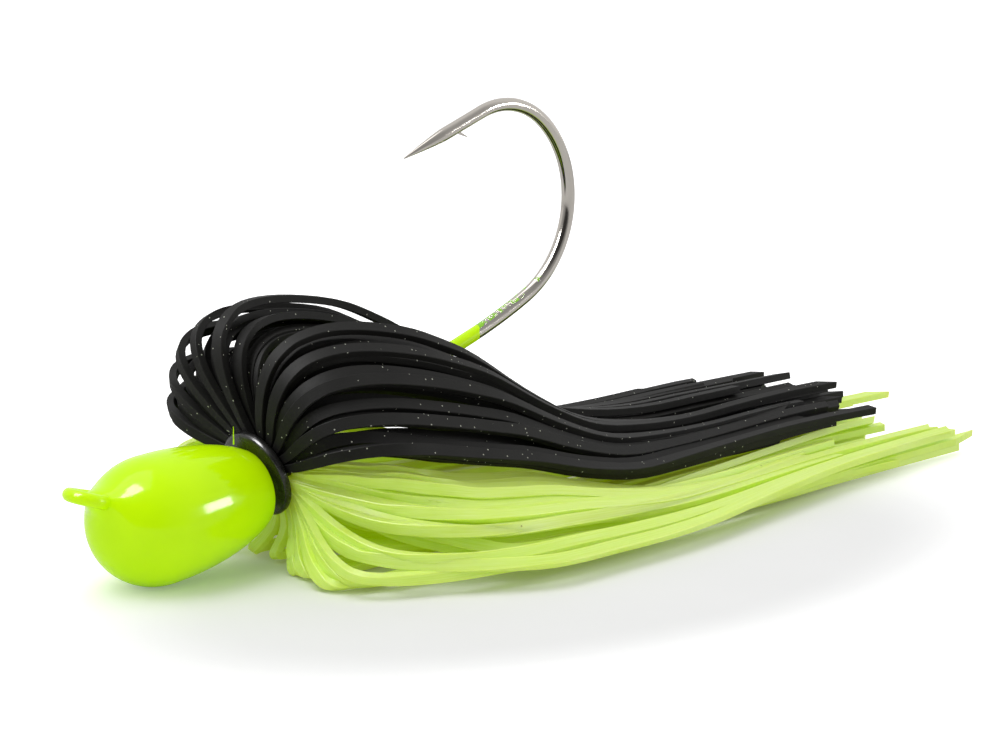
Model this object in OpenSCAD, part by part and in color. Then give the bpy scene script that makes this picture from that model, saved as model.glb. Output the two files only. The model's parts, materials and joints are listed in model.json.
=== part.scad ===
// Skirted bass jig: a cast head on one forged hook, with a rubber collar that
// holds a skirt of flat strands.
// Frame: the origin is the centre of the line tie's bore, X runs from the nose to
// the tail, Z is up, and the hook lies in the plane y = 0. All sizes are in mm.

/* [Hook] */
// Diameter of the hook wire
wire_d = 1.4; // [1.1:0.05:1.7]
// Loss of the wire's radius at each stage of the bend, as it is drawn round
draw_down = 0.01; // [0.008:0.001:0.02]
// Bore of the line tie
tie_bore = 2.2; // [1.9:0.05:2.6]
// Diameter of the wire that the line tie is bent from
tie_wire = 1.3; // [1.1:0.05:1.6]
// Depth that the bore is dressed into the ring's inner side
tie_dress = 0.1; // [0.06:0.01:0.16]
// Length of the front leg, from the line tie's centre to the kink in the head
leg_len = 12.3; // [11.5:0.1:13.5]
// Diameter of the front leg, which is forged a little thinner than the wire
leg_d = 1.24; // [1:0.02:1.28]
// Slope of the front leg, rising to the nose
leg_tilt = 17.6; // [14:0.2:22]
// Slope of the shank, rising to the tail
shank_tilt = 19.5; // [16:0.5:22]
// Straight shank behind the kink
shank_len = 37.4; // [34:0.2:41]
// Radius of the slow sweep that leads into the bend
sweep_r = 60; // [40:1:90]
// Angle that the slow sweep turns
sweep_turn = 7.6; // [4:0.2:10]
// Radius of the bend
bend_r = 10.7; // [9.5:0.1:12]
// Angle that the bend turns
bend_turn = 110.8; // [105:0.2:115]
// Radius of the throat, above the bend
throat_r = 8.1; // [7:0.1:9.5]
// Angle that the throat turns
throat_turn = 61.7; // [57:0.1:66]
// Straight length from the throat to the tip of the point
spear_len = 10.6; // [9.5:0.1:12]
// Length of the taper that ends in the point
point_len = 5.4; // [4:0.1:6.5]
// Diameter of the very tip
tip_d = 0.12; // [0.08:0.02:0.2]
// Distance of the barb's root from the tip
barb_set = 6.5; // [5.5:0.1:7.5]
// Length of the barb
barb_len = 1.7; // [1.4:0.1:2.2]
// Height of the barb's free end above the wire
barb_rise = 0.95; // [0.6:0.05:1.1]
// Thickness of the barb
barb_w = 0.6; // [0.4:0.05:0.8]

/* [Head] */
// Diameter of the head at its widest section
head_d = 12.4; // [11.6:0.1:13.4]
// Length from the widest section to the nose
nose_len = 6.5; // [5.8:0.1:7.2]
// Length from the widest section to the rear end
tail_len = 14.3; // [13.5:0.1:15.5]
// Fullness of the rear half: an ellipse at 1, blunter below it
tail_full = 0.91; // [0.85:0.01:1]
// Slope of the head's axis, rising to the tail
head_tilt = 5.8; // [3:0.2:9]
// Distance of the widest section ahead of the kink
head_ahead = 4.2; // [3.6:0.1:4.8]
// Height of the widest section's centre above the kink
head_above = 0.4; // [0:0.1:0.8]

/* [Keeper and collar] */
// Distance from the kink to the seat that the collar is pushed against
seat_set = 8.3; // [7.8:0.1:8.8]
// Diameter of the keeper stem that carries the collar
stem_d = 4.2; // [3.6:0.1:4.6]
// Length of the keeper stem behind the seat
stem_len = 6.6; // [5.8:0.1:7.6]
// Bevel at the stem's free end
stem_bevel = 0.6; // [0.3:0.1:0.9]
// Radial clearance between the collar's bore and the stem
collar_fit = 0.05; // [0.03:0.01:0.08]
// Diameter of the front lip
lip_d = 8.8; // [8.4:0.1:9.6]
// Thickness of the front lip
lip_t = 0.9; // [0.7:0.05:1.2]
// Diameter of the groove's floor
groove_d = 5.9; // [5.6:0.1:6.2]
// Diameter of the rear sleeve
sleeve_d = 6.9; // [6.6:0.1:7.4]
// Length of the rear sleeve
sleeve_len = 1.9; // [1.5:0.1:2.4]
// Edge break on the lip and the sleeve
collar_break = 0.3; // [0.15:0.05:0.35]

/* [Skirt strands] */
// Width of a strand
strand_w = 1.2; // [1.1:0.05:1.4]
// Thickness of a strand
strand_t = 0.74; // [0.6:0.02:0.76]
// Width of a strand where the collar pinches it
pinch_w = 0.7; // [0.6:0.02:0.76]
// Spacing of the rows of strands along the groove
row_pitch = 0.92; // [0.88:0.01:1]
// Gap between the groove's floor and the strands' roots
root_gap = 0.25; // [0.22:0.01:0.3]
// Distance of a strand's first bend from the collar's axis
stand_r = 5.3; // [5.1:0.1:5.8]
// Distance of the front bulge from the collar's axis
bulge_r = 13.6; // [13:0.1:14.2]
// Spacing of the rows along the collar's axis in the front bulge
bulge_pitch = 2.3; // [2:0.1:2.6]
// Spacing of the rows along the collar's axis in the low bulge
belly_pitch = 3.4; // [3.2:0.1:3.6]
// Spacing of the layers in the front bulge
bulge_gap = 1.7; // [1.4:0.1:1.9]
// Spacing of the layers in the low bulge
belly_gap = 2; // [1.9:0.05:2.1]
// Distance of the bulge's near side from the collar's axis
near_r = 12.4; // [12:0.1:13]
// How far the bulge's near side leans towards the tail
near_lean = 6; // [4.5:0.1:7]
// How far the bulge's far side leans towards the tail
far_lean = 2.5; // [1.5:0.1:3.5]
// How far the far side bows towards the nose on its way to the bulge
far_bow = 1.2; // [0.6:0.1:1.5]
// Distance of the low bulge, at the belly, from the collar's axis
belly_r = 14; // [13:0.1:15]
// How far the low bulge leans towards the nose
belly_lean = 2.8; // [2:0.1:3.4]
// Height of the skirt's crest above the floor
crest_h = 23; // [21:0.5:25]
// Distance of the crest behind the groove
crest_set = 5; // [3:0.5:7]
// Length over which the crest falls away
crest_fall = 26; // [22:0.5:30]
// Distance behind the groove where the strands have settled into flat layers
settle_set = 60; // [54:1:66]
// Height that the dome falls to before its layers settle
tail_h = 6; // [5.5:0.25:7]
// Extra height of the settled layers' middle
tail_crown = 0.8; // [0.4:0.1:1.2]
// Half width of the skirt on the floor at its widest
spread_w = 26; // [24:0.5:27]
// Distance of the widest place behind the groove
spread_set = 20; // [17:0.5:23]
// Length over which the width draws in
spread_fall = 38; // [34:1:44]
// Half width of the skirt at the tail
tail_w = 14.2; // [13:0.2:15.4]
// Clearance between the layers in the trailing skirt
layer_clear = 0.23; // [0.21:0.01:0.28]
// Spacing of the layers where the flank meets the floor
flank_gap = 2.2; // [1.8:0.1:2.6]
// Half width of the parting that lets the hook through
parting = 2.4; // [2:0.1:3]
// Half width of the black part at its widest
black_w = 16; // [14:0.5:18]
// Half width of the black part at the tail
black_tail_w = 9.6; // [9:0.1:10.2]
// Half width of the strands that run along the floor under the rest
floor_w = 13.5; // [12:0.5:14.5]
// How far the black part's tail swings to the far side
black_swing = 1; // [0:0.1:1.4]
// Share by which the far side of the crest stands above the near side
crest_sway = 0.1; // [0:0.01:0.14]
// Distance of the black tips behind the groove
black_reach = 71; // [67:1:75]
// Distance of the chartreuse tips behind the groove
green_reach = 78; // [74:1:82]
// Spread of the tips, since the strands are cut unevenly
reach_spread = 5; // [0:0.5:6]

/* [Hidden] */
$fn = 48;
wire_r = wire_d / 2;
stage_bury = 0.2;
spear_r = wire_r - 4 * draw_down;

// Strands stand in columns round the collar and in rows along its groove
columns = 18;
rows = 3;
first_black = 4;
last_black = 13;
strand_count = columns * rows;
rings = 20;
front_rings = 12;

function column(i) = floor(i / rows);
function row(i) = i % rows;
function is_black(i) = column(i) >= first_black && column(i) <= last_black;
// The black strands fill the upper part of the collar, the chartreuse ones the rest.
// The rows of a column are set apart, so that a front row stands further from the top,
// and the black columns stand in bundles of two.
black_edge = 83;
free_turn = 7.5;
bundle_turn = 2.5;
black_columns = (last_black - first_black + 1) / 2;
green_columns = columns / 2 - black_columns;
bundle_gaps = floor(black_columns / 2);
black_turn = (black_edge - free_turn - bundle_gaps * bundle_turn) / black_columns;
green_start = black_edge + black_turn / 3;
green_turn = (180 - free_turn - green_start) / (green_columns - 1 / rows);
function side(i) = column(i) < columns / 2 ? -1 : 1;
function from_top(i) = floor(abs(column(i) - (columns - 1) / 2));
function set_apart(i) = (rows - 1 - row(i)) / rows;
function black_angle(i) = (from_top(i) + set_apart(i)) * black_turn
    + floor((from_top(i) + 1) / 2) * bundle_turn;
function turn(i) = side(i) * (is_black(i)
    ? free_turn + black_angle(i)
    : green_start + (from_top(i) + set_apart(i) - black_columns) * green_turn);
function two_digits(n) = str(n < 10 ? "0" : "", n);
function green_number(i) = i < first_black * rows ? i + 1 : i + 1 - 2 * black_columns * rows;
function strand_name(i) = is_black(i)
    ? str("black_strand_", two_digits(i + 1 - first_black * rows))
    : str("chartreuse_strand_", two_digits(green_number(i)));

// Places along the hook
kink = leg_len * [cos(leg_tilt), 0, -sin(leg_tilt)];
shank_dir = [cos(shank_tilt), 0, sin(shank_tilt)];
shank_up = [-sin(shank_tilt), 0, cos(shank_tilt)];
across = [0, 1, 0];
tie_ring_r = tie_bore / 2 + tie_wire / 2 - tie_dress;

// Places on the head
head_mid = kink + [-head_ahead, 0, head_above];
profile_steps = 15;
function nose_point(a) = [-nose_len * cos(a), head_d / 2 * sin(a)];
function tail_point(a) = [tail_len * sin(a), head_d / 2 * pow(cos(a), tail_full)];
egg = concat(
    [for (k = [0 : profile_steps]) nose_point(90 * k / profile_steps)],
    [for (k = [1 : profile_steps]) tail_point(90 * k / profile_steps)]
);
floor_z = min([for (p = egg) head_mid.z + p.x * sin(head_tilt) - p.y * cos(head_tilt)]);

// Places on the collar
groove_w = rows * row_pitch + 2 * root_gap;
collar_len = lip_t + groove_w + sleeve_len;
groove_mid = kink + (seat_set + lip_t + groove_w / 2) * shank_dir;
groove_h = groove_mid.z - floor_z;

// Course of one strand, as points that a smooth curve runs through
flank_edge = 130;
belly_edge = 165;
near_edge = 35;
near_turn = 50;
row_ease = 0.2;
dome_edge = 62;
low_lift = strand_t * 0.75;
layer_gap = strand_t + layer_clear;
function radial(a) = sin(a) * across + cos(a) * shank_up;
function unit(v) = v / norm(v);
function mix(a, b, f) = a + f * (b - a);
function bump(x) = exp(-x * x);
function ease(x) = let (c = max(0, min(1, x))) c * c * (3 - 2 * c);
function on_floor(p, lift = low_lift) = [p.x, p.y, max(p.z, floor_z + lift)];

// Front part of the course: out of the groove and over the bulge
function groove_point(a, r, out) = groove_mid + (r - 1) * row_pitch * shank_dir + out * radial(a);
function floor_reach(a) = (groove_h - low_lift) / (cos(shank_tilt) * max(0.2, -cos(a)));
function bulge_point(a, r, share) =
    let (
        low = ease((abs(a) - black_edge) / (belly_edge - black_edge)),
        near = ease((near_edge - a) / near_turn),
        upper = mix(far_lean, near_lean * (1 - r * row_ease), near),
        lean = mix(upper, -belly_lean * abs(sin(a)), low),
        full = mix(mix(bulge_r, near_r, near), belly_r, low),
        held = min(full, floor_reach(a)),
        layer = r * mix(bulge_gap, belly_gap, low),
        out = mix(stand_r, held - layer, mix(sin(90 * share), share, low)),
        arc = lean > 0 ? 1 - cos(90 * share) : share,
        pitch = mix(bulge_pitch, belly_pitch, low),
        bow = far_bow * (1 - near) * (1 - low) * sin(180 * share),
        back = (r - 1) * mix(row_pitch, pitch, share) + arc * lean - bow
    )
    on_floor(groove_mid + back * shank_dir + out * radial(a));

// Rear part of the course: a dome that settles into flat layers on the floor.
// A section point is the distance to the side and the height above the lowest layer.
function share_black(a) = abs(a) / black_edge;
function share_flank(a) = (abs(a) - black_edge) / (flank_edge - black_edge);
function share_floor(a) = (abs(a) - flank_edge) / (180 - flank_edge);
function crest(s, a) = mix(tail_h, crest_h * (1 + crest_sway * sin(a)), bump(max(0, s - crest_set) / crest_fall));
function spread(s) = mix(tail_w, spread_w, bump((s - spread_set) / spread_fall));
function inset(s) = mix(layer_gap, bulge_gap, bump(s / crest_fall));
function dome_top(a, s, r) =
    let (d = dome_edge * share_black(a), in = r * inset(s))
    [
        parting * cos(d) + (black_w - in) * share_black(a) * sin(dome_edge),
        (crest(s, a) - in) * cos(d)
    ];
function dome_flank(a, s, r) = mix(
    dome_top(sign(a) * black_edge, s, r),
    [spread(s) - r * flank_gap, (rows - 1 - r) * layer_gap / 2],
    share_flank(a)
);
function dome_floor(a, s, r) = [floor_w * (1 - share_floor(a)), r * mix(layer_gap, inset(s), 0.8)];
function dome_section(a, s, r) = share_flank(a) < 0 ? dome_top(a, s, r)
    : share_floor(a) < 0 ? dome_flank(a, s, r) : dome_floor(a, s, r);

function tail_top(a, r) = [
    parting / 3 + black_tail_w * share_black(a),
    (2 * rows - 1 - r) * layer_gap + tail_crown * cos(90 * share_black(a))
];
function tail_flank(a, s, r) = [
    mix(black_tail_w + strand_w / 2, spread(s), share_flank(a)),
    (rows - 1 - r) * layer_gap
];
function tail_floor(a, r) = [
    mix(black_tail_w - strand_w / 2, strand_w / 2, share_floor(a)),
    r * layer_gap
];
function tail_section(a, s, r) = share_flank(a) < 0 ? tail_top(a, r)
    : share_floor(a) < 0 ? tail_flank(a, s, r) : tail_floor(a, r);

function dome_point(a, r, s) =
    let (
        settled = ease((s - spread_set) / (settle_set - spread_set)),
        p = mix(dome_section(a, s, r), tail_section(a, s, r), settled),
        swing = abs(a) < black_edge ? settled * black_swing : 0
    )
    [groove_mid.x + s, sign(a) * p.x + swing, floor_z + low_lift + p.y];

stations = settle_set * [1 / 6, 0.35, 17 / 30, 0.8, 31 / 30];
function course(a, r, reach) = concat(
    [
        groove_point(a, r, groove_d / 2 + root_gap),
        groove_point(a, r, stand_r),
        bulge_point(a, r, 0.5),
        bulge_point(a, r, 1)
    ],
    [for (s = stations) dome_point(a, r, s)],
    [dome_point(a, r, reach)]
);
function spline(p, u) =
    let (
        n = len(p) - 1,
        k = min(n - 1, floor(u * n)),
        f = u * n - k,
        a = p[max(0, k - 1)],
        b = p[k],
        c = p[k + 1],
        d = p[min(n, k + 2)]
    )
    on_floor(b + f / 2 * (c - a + f * (2 * a - 5 * b + 4 * c - d + f * (3 * (b - c) + d - a))));

// Rings lie closer together over the bulge than along the tail
front_share = 5 / (len(stations) + 4);
function ring_place(k) = k <= front_rings
    ? front_share * k / front_rings
    : front_share + (1 - front_share) * (k - front_rings) / (rings - 1 - front_rings);

// One ring of a strand: its four corners, with the flat side along the skirt's surface
function ring_corners(p, ahead, beside, w) =
    let (
        along = unit(ahead),
        wide = unit(beside - (beside * along) * along),
        thick = cross(along, wide)
    )
    [
        for (c = [[1, 1], [-1, 1], [-1, -1], [1, -1]])
            on_floor(p + c.x * w / 2 * wide + c.y * strand_t / 2 * thick, low_lift / 8)
    ];

// One stage of the bend. It starts inside the stage before it, which is a little thicker.
module hook_arc(r, turn_angle, stage) {
    lead = stage_bury / r * 180 / PI;
    rotate([90, 0, 0])
        rotate([0, 0, -90 - lead])
            rotate_extrude(angle = turn_angle + lead)
                translate([r, 0])
                    circle(wire_r - stage * draw_down);
}

// Draws its children at the end of an arc that starts at the origin and runs along X
module after_arc(r, turn_angle) {
    translate([r * sin(turn_angle), 0, r * (1 - cos(turn_angle))])
        rotate([0, -turn_angle, 0])
            children();
}

module barb() {
    translate([spear_len - barb_set - barb_len, 0, 0])
        rotate([90, 0, 0])
            linear_extrude(barb_w, center = true)
                polygon([
                    [0, spear_r + barb_rise],
                    [barb_len, spear_r * 0.6],
                    [barb_len * 0.6, spear_r * 0.2],
                    [barb_len * 0.35, spear_r * 0.6]
                ]);
}

module spear() {
    translate([-stage_bury, 0, 0])
        rotate([0, 90, 0])
            cylinder(h = stage_bury + spear_len - point_len, r = spear_r);
    translate([spear_len - point_len, 0, 0])
        rotate([0, 90, 0])
            cylinder(h = point_len, r1 = spear_r - draw_down, r2 = tip_d / 2);
    barb();
}

module bend() {
    translate([0, 0, sweep_r])
        hook_arc(sweep_r, sweep_turn, 1);
    after_arc(sweep_r, sweep_turn) {
        translate([0, 0, bend_r])
            hook_arc(bend_r, bend_turn, 2);
        after_arc(bend_r, bend_turn) {
            translate([0, 0, throat_r])
                hook_arc(throat_r, throat_turn, 3);
            after_arc(throat_r, throat_turn)
                spear();
        }
    }
}

module line_tie() {
    rotate([0, leg_tilt, 0])
        difference() {
            union() {
                rotate_extrude()
                    translate([tie_ring_r, 0])
                        circle(d = tie_wire);
                translate([tie_ring_r, 0, 0])
                    rotate([0, 90, 0])
                        cylinder(h = leg_len - tie_ring_r, d = leg_d);
            }
            cylinder(h = 2 * tie_wire, d = tie_bore, center = true);
        }
}

module hook_solid() {
    line_tie();
    translate(kink)
        sphere(wire_r * 1.05);
    translate(kink)
        rotate([0, -shank_tilt, 0]) {
            rotate([0, 90, 0])
                cylinder(h = shank_len, r = wire_r);
            translate([shank_len, 0, 0])
                bend();
        }
}

module hook() {
    color("silver")
        hook_solid();
}

module egg_solid() {
    translate(head_mid)
        rotate([0, -head_tilt, 0])
            rotate([0, 90, 0])
                rotate_extrude($fn = 96)
                    polygon(concat(
                        [[0, -nose_len]],
                        [for (k = [1 : len(egg) - 2]) [egg[k].y, egg[k].x]],
                        [[0, tail_len]]
                    ));
}

module keeper_stem() {
    rotate([0, 90, 0])
        rotate_extrude()
            polygon([
                [0, -lip_d / 2],
                [stem_d / 2, -lip_d / 2],
                [stem_d / 2, stem_len - stem_bevel],
                [stem_d / 2 - stem_bevel, stem_len],
                [0, stem_len]
            ]);
}

module at_seat() {
    translate(kink + seat_set * shank_dir)
        rotate([0, -shank_tilt, 0])
            children();
}

module head() {
    color("#bef000")
        difference() {
            union() {
                difference() {
                    egg_solid();
                    at_seat()
                        translate([0, -head_d, -head_d])
                            cube([tail_len, 2 * head_d, 2 * head_d]);
                }
                at_seat()
                    keeper_stem();
            }
            hook_solid();
        }
}

module skirt_collar() {
    bore_r = stem_d / 2 + collar_fit;
    sleeve_x = lip_t + groove_w;
    color("#1c1c1c")
        at_seat()
            rotate([0, 90, 0])
                rotate_extrude()
                    polygon([
                        [bore_r, 0],
                        [lip_d / 2 - collar_break, 0],
                        [lip_d / 2, collar_break],
                        [lip_d / 2, lip_t - collar_break],
                        [lip_d / 2 - collar_break, lip_t],
                        [groove_d / 2, lip_t],
                        [groove_d / 2, sleeve_x],
                        [sleeve_d / 2, sleeve_x],
                        [sleeve_d / 2, collar_len - collar_break],
                        [sleeve_d / 2 - collar_break, collar_len],
                        [bore_r, collar_len]
                    ]);
}

module strand(i) {
    a = turn(i);
    r = row(i);
    own = rands(-1, 1, 2, 100 + i);
    reach = (is_black(i) ? black_reach : green_reach) + reach_spread * own[0];
    path = course(a, r, reach);
    left = course(a - 1.5, r, reach);
    right = course(a + 1.5, r, reach);
    corners = [
        for (k = [0 : rings - 1])
            let (u = ring_place(k), opened = min(1, u / 0.2))
            each ring_corners(
                spline(path, u),
                spline(path, min(1, u + 0.01)) - spline(path, max(0, u - 0.01)),
                spline(right, u) - spline(left, u),
                pinch_w + (strand_w - pinch_w) * opened
            )
    ];
    last = 4 * (rings - 1);
    sides = [
        for (k = [0 : rings - 2], c = [0 : 3])
            let (p = 4 * k + c, q = 4 * k + (c + 1) % 4)
            each [[p, p + 4, q], [q, p + 4, q + 4]]
    ];
    caps = [[0, 1, 2], [0, 2, 3], [last, last + 2, last + 1], [last, last + 3, last + 2]];
    color(is_black(i) ? "#262626" : "#cdef5a")
        polyhedron(corners, concat(sides, caps));
}

head();
hook();
skirt_collar();
for (i = [0 : strand_count - 1])
    strand(i);
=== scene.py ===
"""Looks of a skirted jig: painted head, bright hook, rubber collar and a two-tone skirt."""

import itertools
import json
import math

import bmesh
import bpy
import numpy as np
from mathutils import Matrix, Vector


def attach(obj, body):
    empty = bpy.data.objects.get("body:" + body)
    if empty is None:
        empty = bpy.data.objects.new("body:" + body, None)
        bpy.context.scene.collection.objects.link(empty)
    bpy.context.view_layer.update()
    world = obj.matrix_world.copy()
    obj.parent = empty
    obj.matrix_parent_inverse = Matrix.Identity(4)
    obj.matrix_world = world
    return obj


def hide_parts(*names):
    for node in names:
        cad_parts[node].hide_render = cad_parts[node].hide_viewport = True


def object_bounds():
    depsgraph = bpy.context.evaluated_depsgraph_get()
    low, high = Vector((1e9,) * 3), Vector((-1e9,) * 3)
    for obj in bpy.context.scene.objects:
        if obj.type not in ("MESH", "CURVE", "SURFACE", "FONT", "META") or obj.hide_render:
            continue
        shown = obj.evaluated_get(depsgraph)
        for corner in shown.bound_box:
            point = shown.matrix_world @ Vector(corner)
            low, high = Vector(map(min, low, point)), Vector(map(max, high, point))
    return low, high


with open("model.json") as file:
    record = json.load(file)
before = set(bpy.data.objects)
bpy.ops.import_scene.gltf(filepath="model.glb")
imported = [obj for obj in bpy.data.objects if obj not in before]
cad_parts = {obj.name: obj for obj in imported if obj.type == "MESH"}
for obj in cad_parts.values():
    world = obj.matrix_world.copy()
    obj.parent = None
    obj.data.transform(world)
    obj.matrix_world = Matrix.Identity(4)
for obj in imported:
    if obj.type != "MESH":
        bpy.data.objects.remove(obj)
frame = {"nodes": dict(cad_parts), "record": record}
cad_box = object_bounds()

MM = 0.001
DRAWS = np.random.default_rng(20)

# Sizes of the solids that the looks are built around, in mm and degrees
LEG_LEN, LEG_TILT, LEG_R = 12.3, 17.6, 0.62
SHANK_TILT, SHANK_LEN = 19.5, 37.4
WIRE_R, DRAW_DOWN = 0.7, 0.01
SPEAR_R = WIRE_R - 4 * DRAW_DOWN
SWEEP_R, SWEEP_TURN = 60.0, 7.6
BEND_R, BEND_TURN = 10.7, 110.8
THROAT_R, THROAT_TURN = 8.1, 61.7
SPEAR_LEN, POINT_LEN, TIP_R = 10.6, 5.4, 0.06
BARB_SET, BARB_LEN, BARB_RISE, BARB_W = 6.5, 1.7, 0.95, 0.6
TIE_BORE_R, TIE_WIRE_R, TIE_DRESS = 1.1, 0.65, 0.1
HEAD_R, NOSE_LEN, TAIL_LEN, TAIL_FULL = 6.2, 6.5, 14.3, 0.91
HEAD_TILT, HEAD_AHEAD, HEAD_ABOVE = 5.8, 4.2, 0.4
SEAT_SET, STEM_R, STEM_LEN = 8.3, 2.1, 6.6
LIP_R, LIP_T, GROOVE_R, GROOVE_W = 4.4, 0.9, 2.95, 3.26
SLEEVE_R, SLEEVE_LEN, BORE_R = 3.45, 1.9, 2.15


def slope(degrees):
    """Unit vector in the hook's plane, at that slope above the nose-to-tail line."""
    return np.array([math.cos(math.radians(degrees)), 0.0, math.sin(math.radians(degrees))])


ACROSS = np.array([0.0, 1.0, 0.0])
KINK = LEG_LEN * slope(-LEG_TILT)
SHANK_DIR = slope(SHANK_TILT)
SHANK_UP = slope(SHANK_TILT + 90)
HEAD_MID = KINK + np.array([-HEAD_AHEAD, 0.0, HEAD_ABOVE])
SEAT = KINK + SEAT_SET * SHANK_DIR
GROOVE_MID = SEAT + (LIP_T + GROOVE_W / 2) * SHANK_DIR
FLOOR_Z = float(cad_box[0][2]) / MM


# Modelling helpers

def deselect():
    if bpy.context.object and bpy.context.object.mode != "OBJECT":
        bpy.ops.object.mode_set(mode="OBJECT")
    bpy.ops.object.select_all(action="DESELECT")


def pick(piece):
    deselect()
    piece.select_set(True)
    bpy.context.view_layer.objects.active = piece


def join(piece, others):
    """Joins other pieces into this one."""
    pick(piece)
    for other in others:
        other.select_set(True)
    bpy.ops.object.join()


def edit(piece, kind="VERT"):
    pick(piece)
    bpy.ops.object.mode_set(mode="EDIT")
    bpy.ops.mesh.select_mode(type=kind)


def leave_edit():
    bpy.ops.object.mode_set(mode="OBJECT")


def choose_long_edges(piece):
    """Selects, in edit mode, the edges that run the length of a bar one unit long."""
    bpy.ops.mesh.select_all(action="DESELECT")
    shape = bmesh.from_edit_mesh(piece.data)
    for edge in shape.edges:
        edge.select_set(abs(edge.verts[0].co.x - edge.verts[1].co.x) > 0.5)
    shape.select_flush_mode()
    bmesh.update_edit_mesh(piece.data)


def apply_modifier(piece, kind, **settings):
    pick(piece)
    modifier = piece.modifiers.new(kind.lower(), kind)
    for key, value in settings.items():
        setattr(modifier, key, value)
    bpy.ops.object.modifier_apply(modifier=modifier.name)


def smooth(piece, degrees):
    pick(piece)
    bpy.ops.object.shade_smooth_by_angle(angle=math.radians(degrees))


def name_piece(piece, name, body, material):
    piece.name = name
    piece.data.name = name
    piece.data.materials.clear()
    piece.data.materials.append(material)
    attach(piece, body)


def place_in_mesh(piece):
    """Puts an object's place, turn and size into its mesh."""
    pick(piece)
    bpy.ops.object.transform_apply(location=True, rotation=True, scale=True)


def unit(vector):
    return vector / np.linalg.norm(vector)


def units(vectors):
    return vectors / np.linalg.norm(vectors, axis=-1, keepdims=True)


def fade(places, start, span):
    """Goes from 0 to 1 over a span of a strand's length."""
    return np.clip((places - start) / span, 0, 1)


def frame_matrix(origin, along, up):
    """Turns local X to along and local Z towards up, and moves the origin there (mm to m)."""
    along = unit(np.asarray(along))
    beside = unit(np.cross(up, along))
    up = np.cross(along, beside)
    matrix = Matrix.Identity(4)
    for k in range(3):
        matrix[k][0], matrix[k][1], matrix[k][2] = along[k], beside[k], up[k]
        matrix[k][3] = origin[k] * MM
    return matrix


# Material helpers

def new_material(name):
    material = bpy.data.materials.new(name)
    material.use_nodes = True
    nodes, links = material.node_tree.nodes, material.node_tree.links
    return material, nodes, links, nodes["Principled BSDF"]


def set_sockets(node, values):
    for socket, value in values.items():
        node.inputs[socket].default_value = value


def ramp(nodes, links, source, stops):
    node = nodes.new("ShaderNodeValToRGB")
    while len(node.color_ramp.elements) < len(stops):
        node.color_ramp.elements.new(0.5)
    for element, (place, colour) in zip(node.color_ramp.elements, stops):
        element.position = place
        element.color = (*colour, 1)
    links.new(source, node.inputs["Fac"])
    return node.outputs["Color"]


def noise(nodes, links, coords, scale, detail, rough=0.5):
    node = nodes.new("ShaderNodeTexNoise")
    set_sockets(node, {"Scale": scale, "Detail": detail, "Roughness": rough})
    links.new(coords, node.inputs["Vector"])
    return node.outputs["Fac"]


def feed(links, socket, value):
    """Links a socket to another one, or sets it to a number or a colour."""
    if isinstance(value, bpy.types.NodeSocket):
        links.new(value, socket)
    elif isinstance(value, tuple):
        socket.default_value = (*value, 1)
    else:
        socket.default_value = value


def mix_colour(nodes, links, factor, first, second):
    node = nodes.new("ShaderNodeMix")
    node.data_type = "RGBA"
    for index, value in ((0, factor), (6, first), (7, second)):
        feed(links, node.inputs[index], value)
    return node.outputs[2]


def maths(nodes, links, operation, *values):
    node = nodes.new("ShaderNodeMath")
    node.operation = operation
    for socket, value in zip(node.inputs, values):
        feed(links, socket, value)
    return node.outputs[0]


def bump(nodes, links, shader, height, depth, strength):
    node = nodes.new("ShaderNodeBump")
    set_sockets(node, {"Strength": strength, "Distance": depth})
    links.new(height, node.inputs["Height"])
    links.new(node.outputs["Normal"], shader.inputs["Normal"])


def vary_roughness(nodes, links, shader, source, least, spread):
    links.new(maths(nodes, links, "MULTIPLY_ADD", source, spread, least), shader.inputs["Roughness"])


def object_coords(nodes):
    return nodes.new("ShaderNodeTexCoord").outputs["Object"]


def specks(nodes, links, coords, scale, share, size):
    """Fine dust: a share of the cells carry one small round speck."""
    cell = nodes.new("ShaderNodeTexVoronoi")
    cell.inputs["Scale"].default_value = scale
    links.new(coords, cell.inputs["Vector"])
    split = nodes.new("ShaderNodeSeparateColor")
    links.new(cell.outputs["Color"], split.inputs[0])
    chosen = maths(nodes, links, "LESS_THAN", split.outputs[0], share)
    spot = maths(nodes, links, "LESS_THAN", cell.outputs["Distance"], size)
    return maths(nodes, links, "MULTIPLY", chosen, spot)


def streaks(nodes, links, along, across):
    """Soft streaks that run along a strand, on its strip map."""
    strip = nodes.new("ShaderNodeUVMap")
    strip.uv_map = "strip"
    stretch = nodes.new("ShaderNodeMapping")
    stretch.inputs["Scale"].default_value = (along, across, 1.0)
    links.new(strip.outputs["UV"], stretch.inputs["Vector"])
    return noise(nodes, links, stretch.outputs["Vector"], scale=2.0, detail=3)


# Finishes

PAINT = (0.60, 0.98, 0.0)
PAINT_DEEP = (0.54, 0.92, 0.0)
# The paint's emission is a painted glow: the head, and the hook where fully painted, give off a little light
# of the paint's colour.
PAINT_COAT, PAINT_COAT_ROUGH, PAINT_PAINTED_GLOW = 0.28, 0.07, 0.07

NICKEL = (0.50, 0.47, 0.43)
FLECK = (0.30, 0.66, 0.05)
PAINT_END_X, FLECK_END_X, PAINT_TOP_Z = 0.0478, 0.0562, 0.020
PAINT_RAGGED = 0.0016
FLECK_WEAR, FLECK_START = 22.0, -0.62
UPPER_TILT, UPPER_LEVEL = -0.42, -0.01052
BRIGHT_ROUGH, SCUFF_ROUGH, PAINT_ROUGH, SCUFF_RELIEF = 0.07, 0.10, 0.12, 0.05

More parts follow.
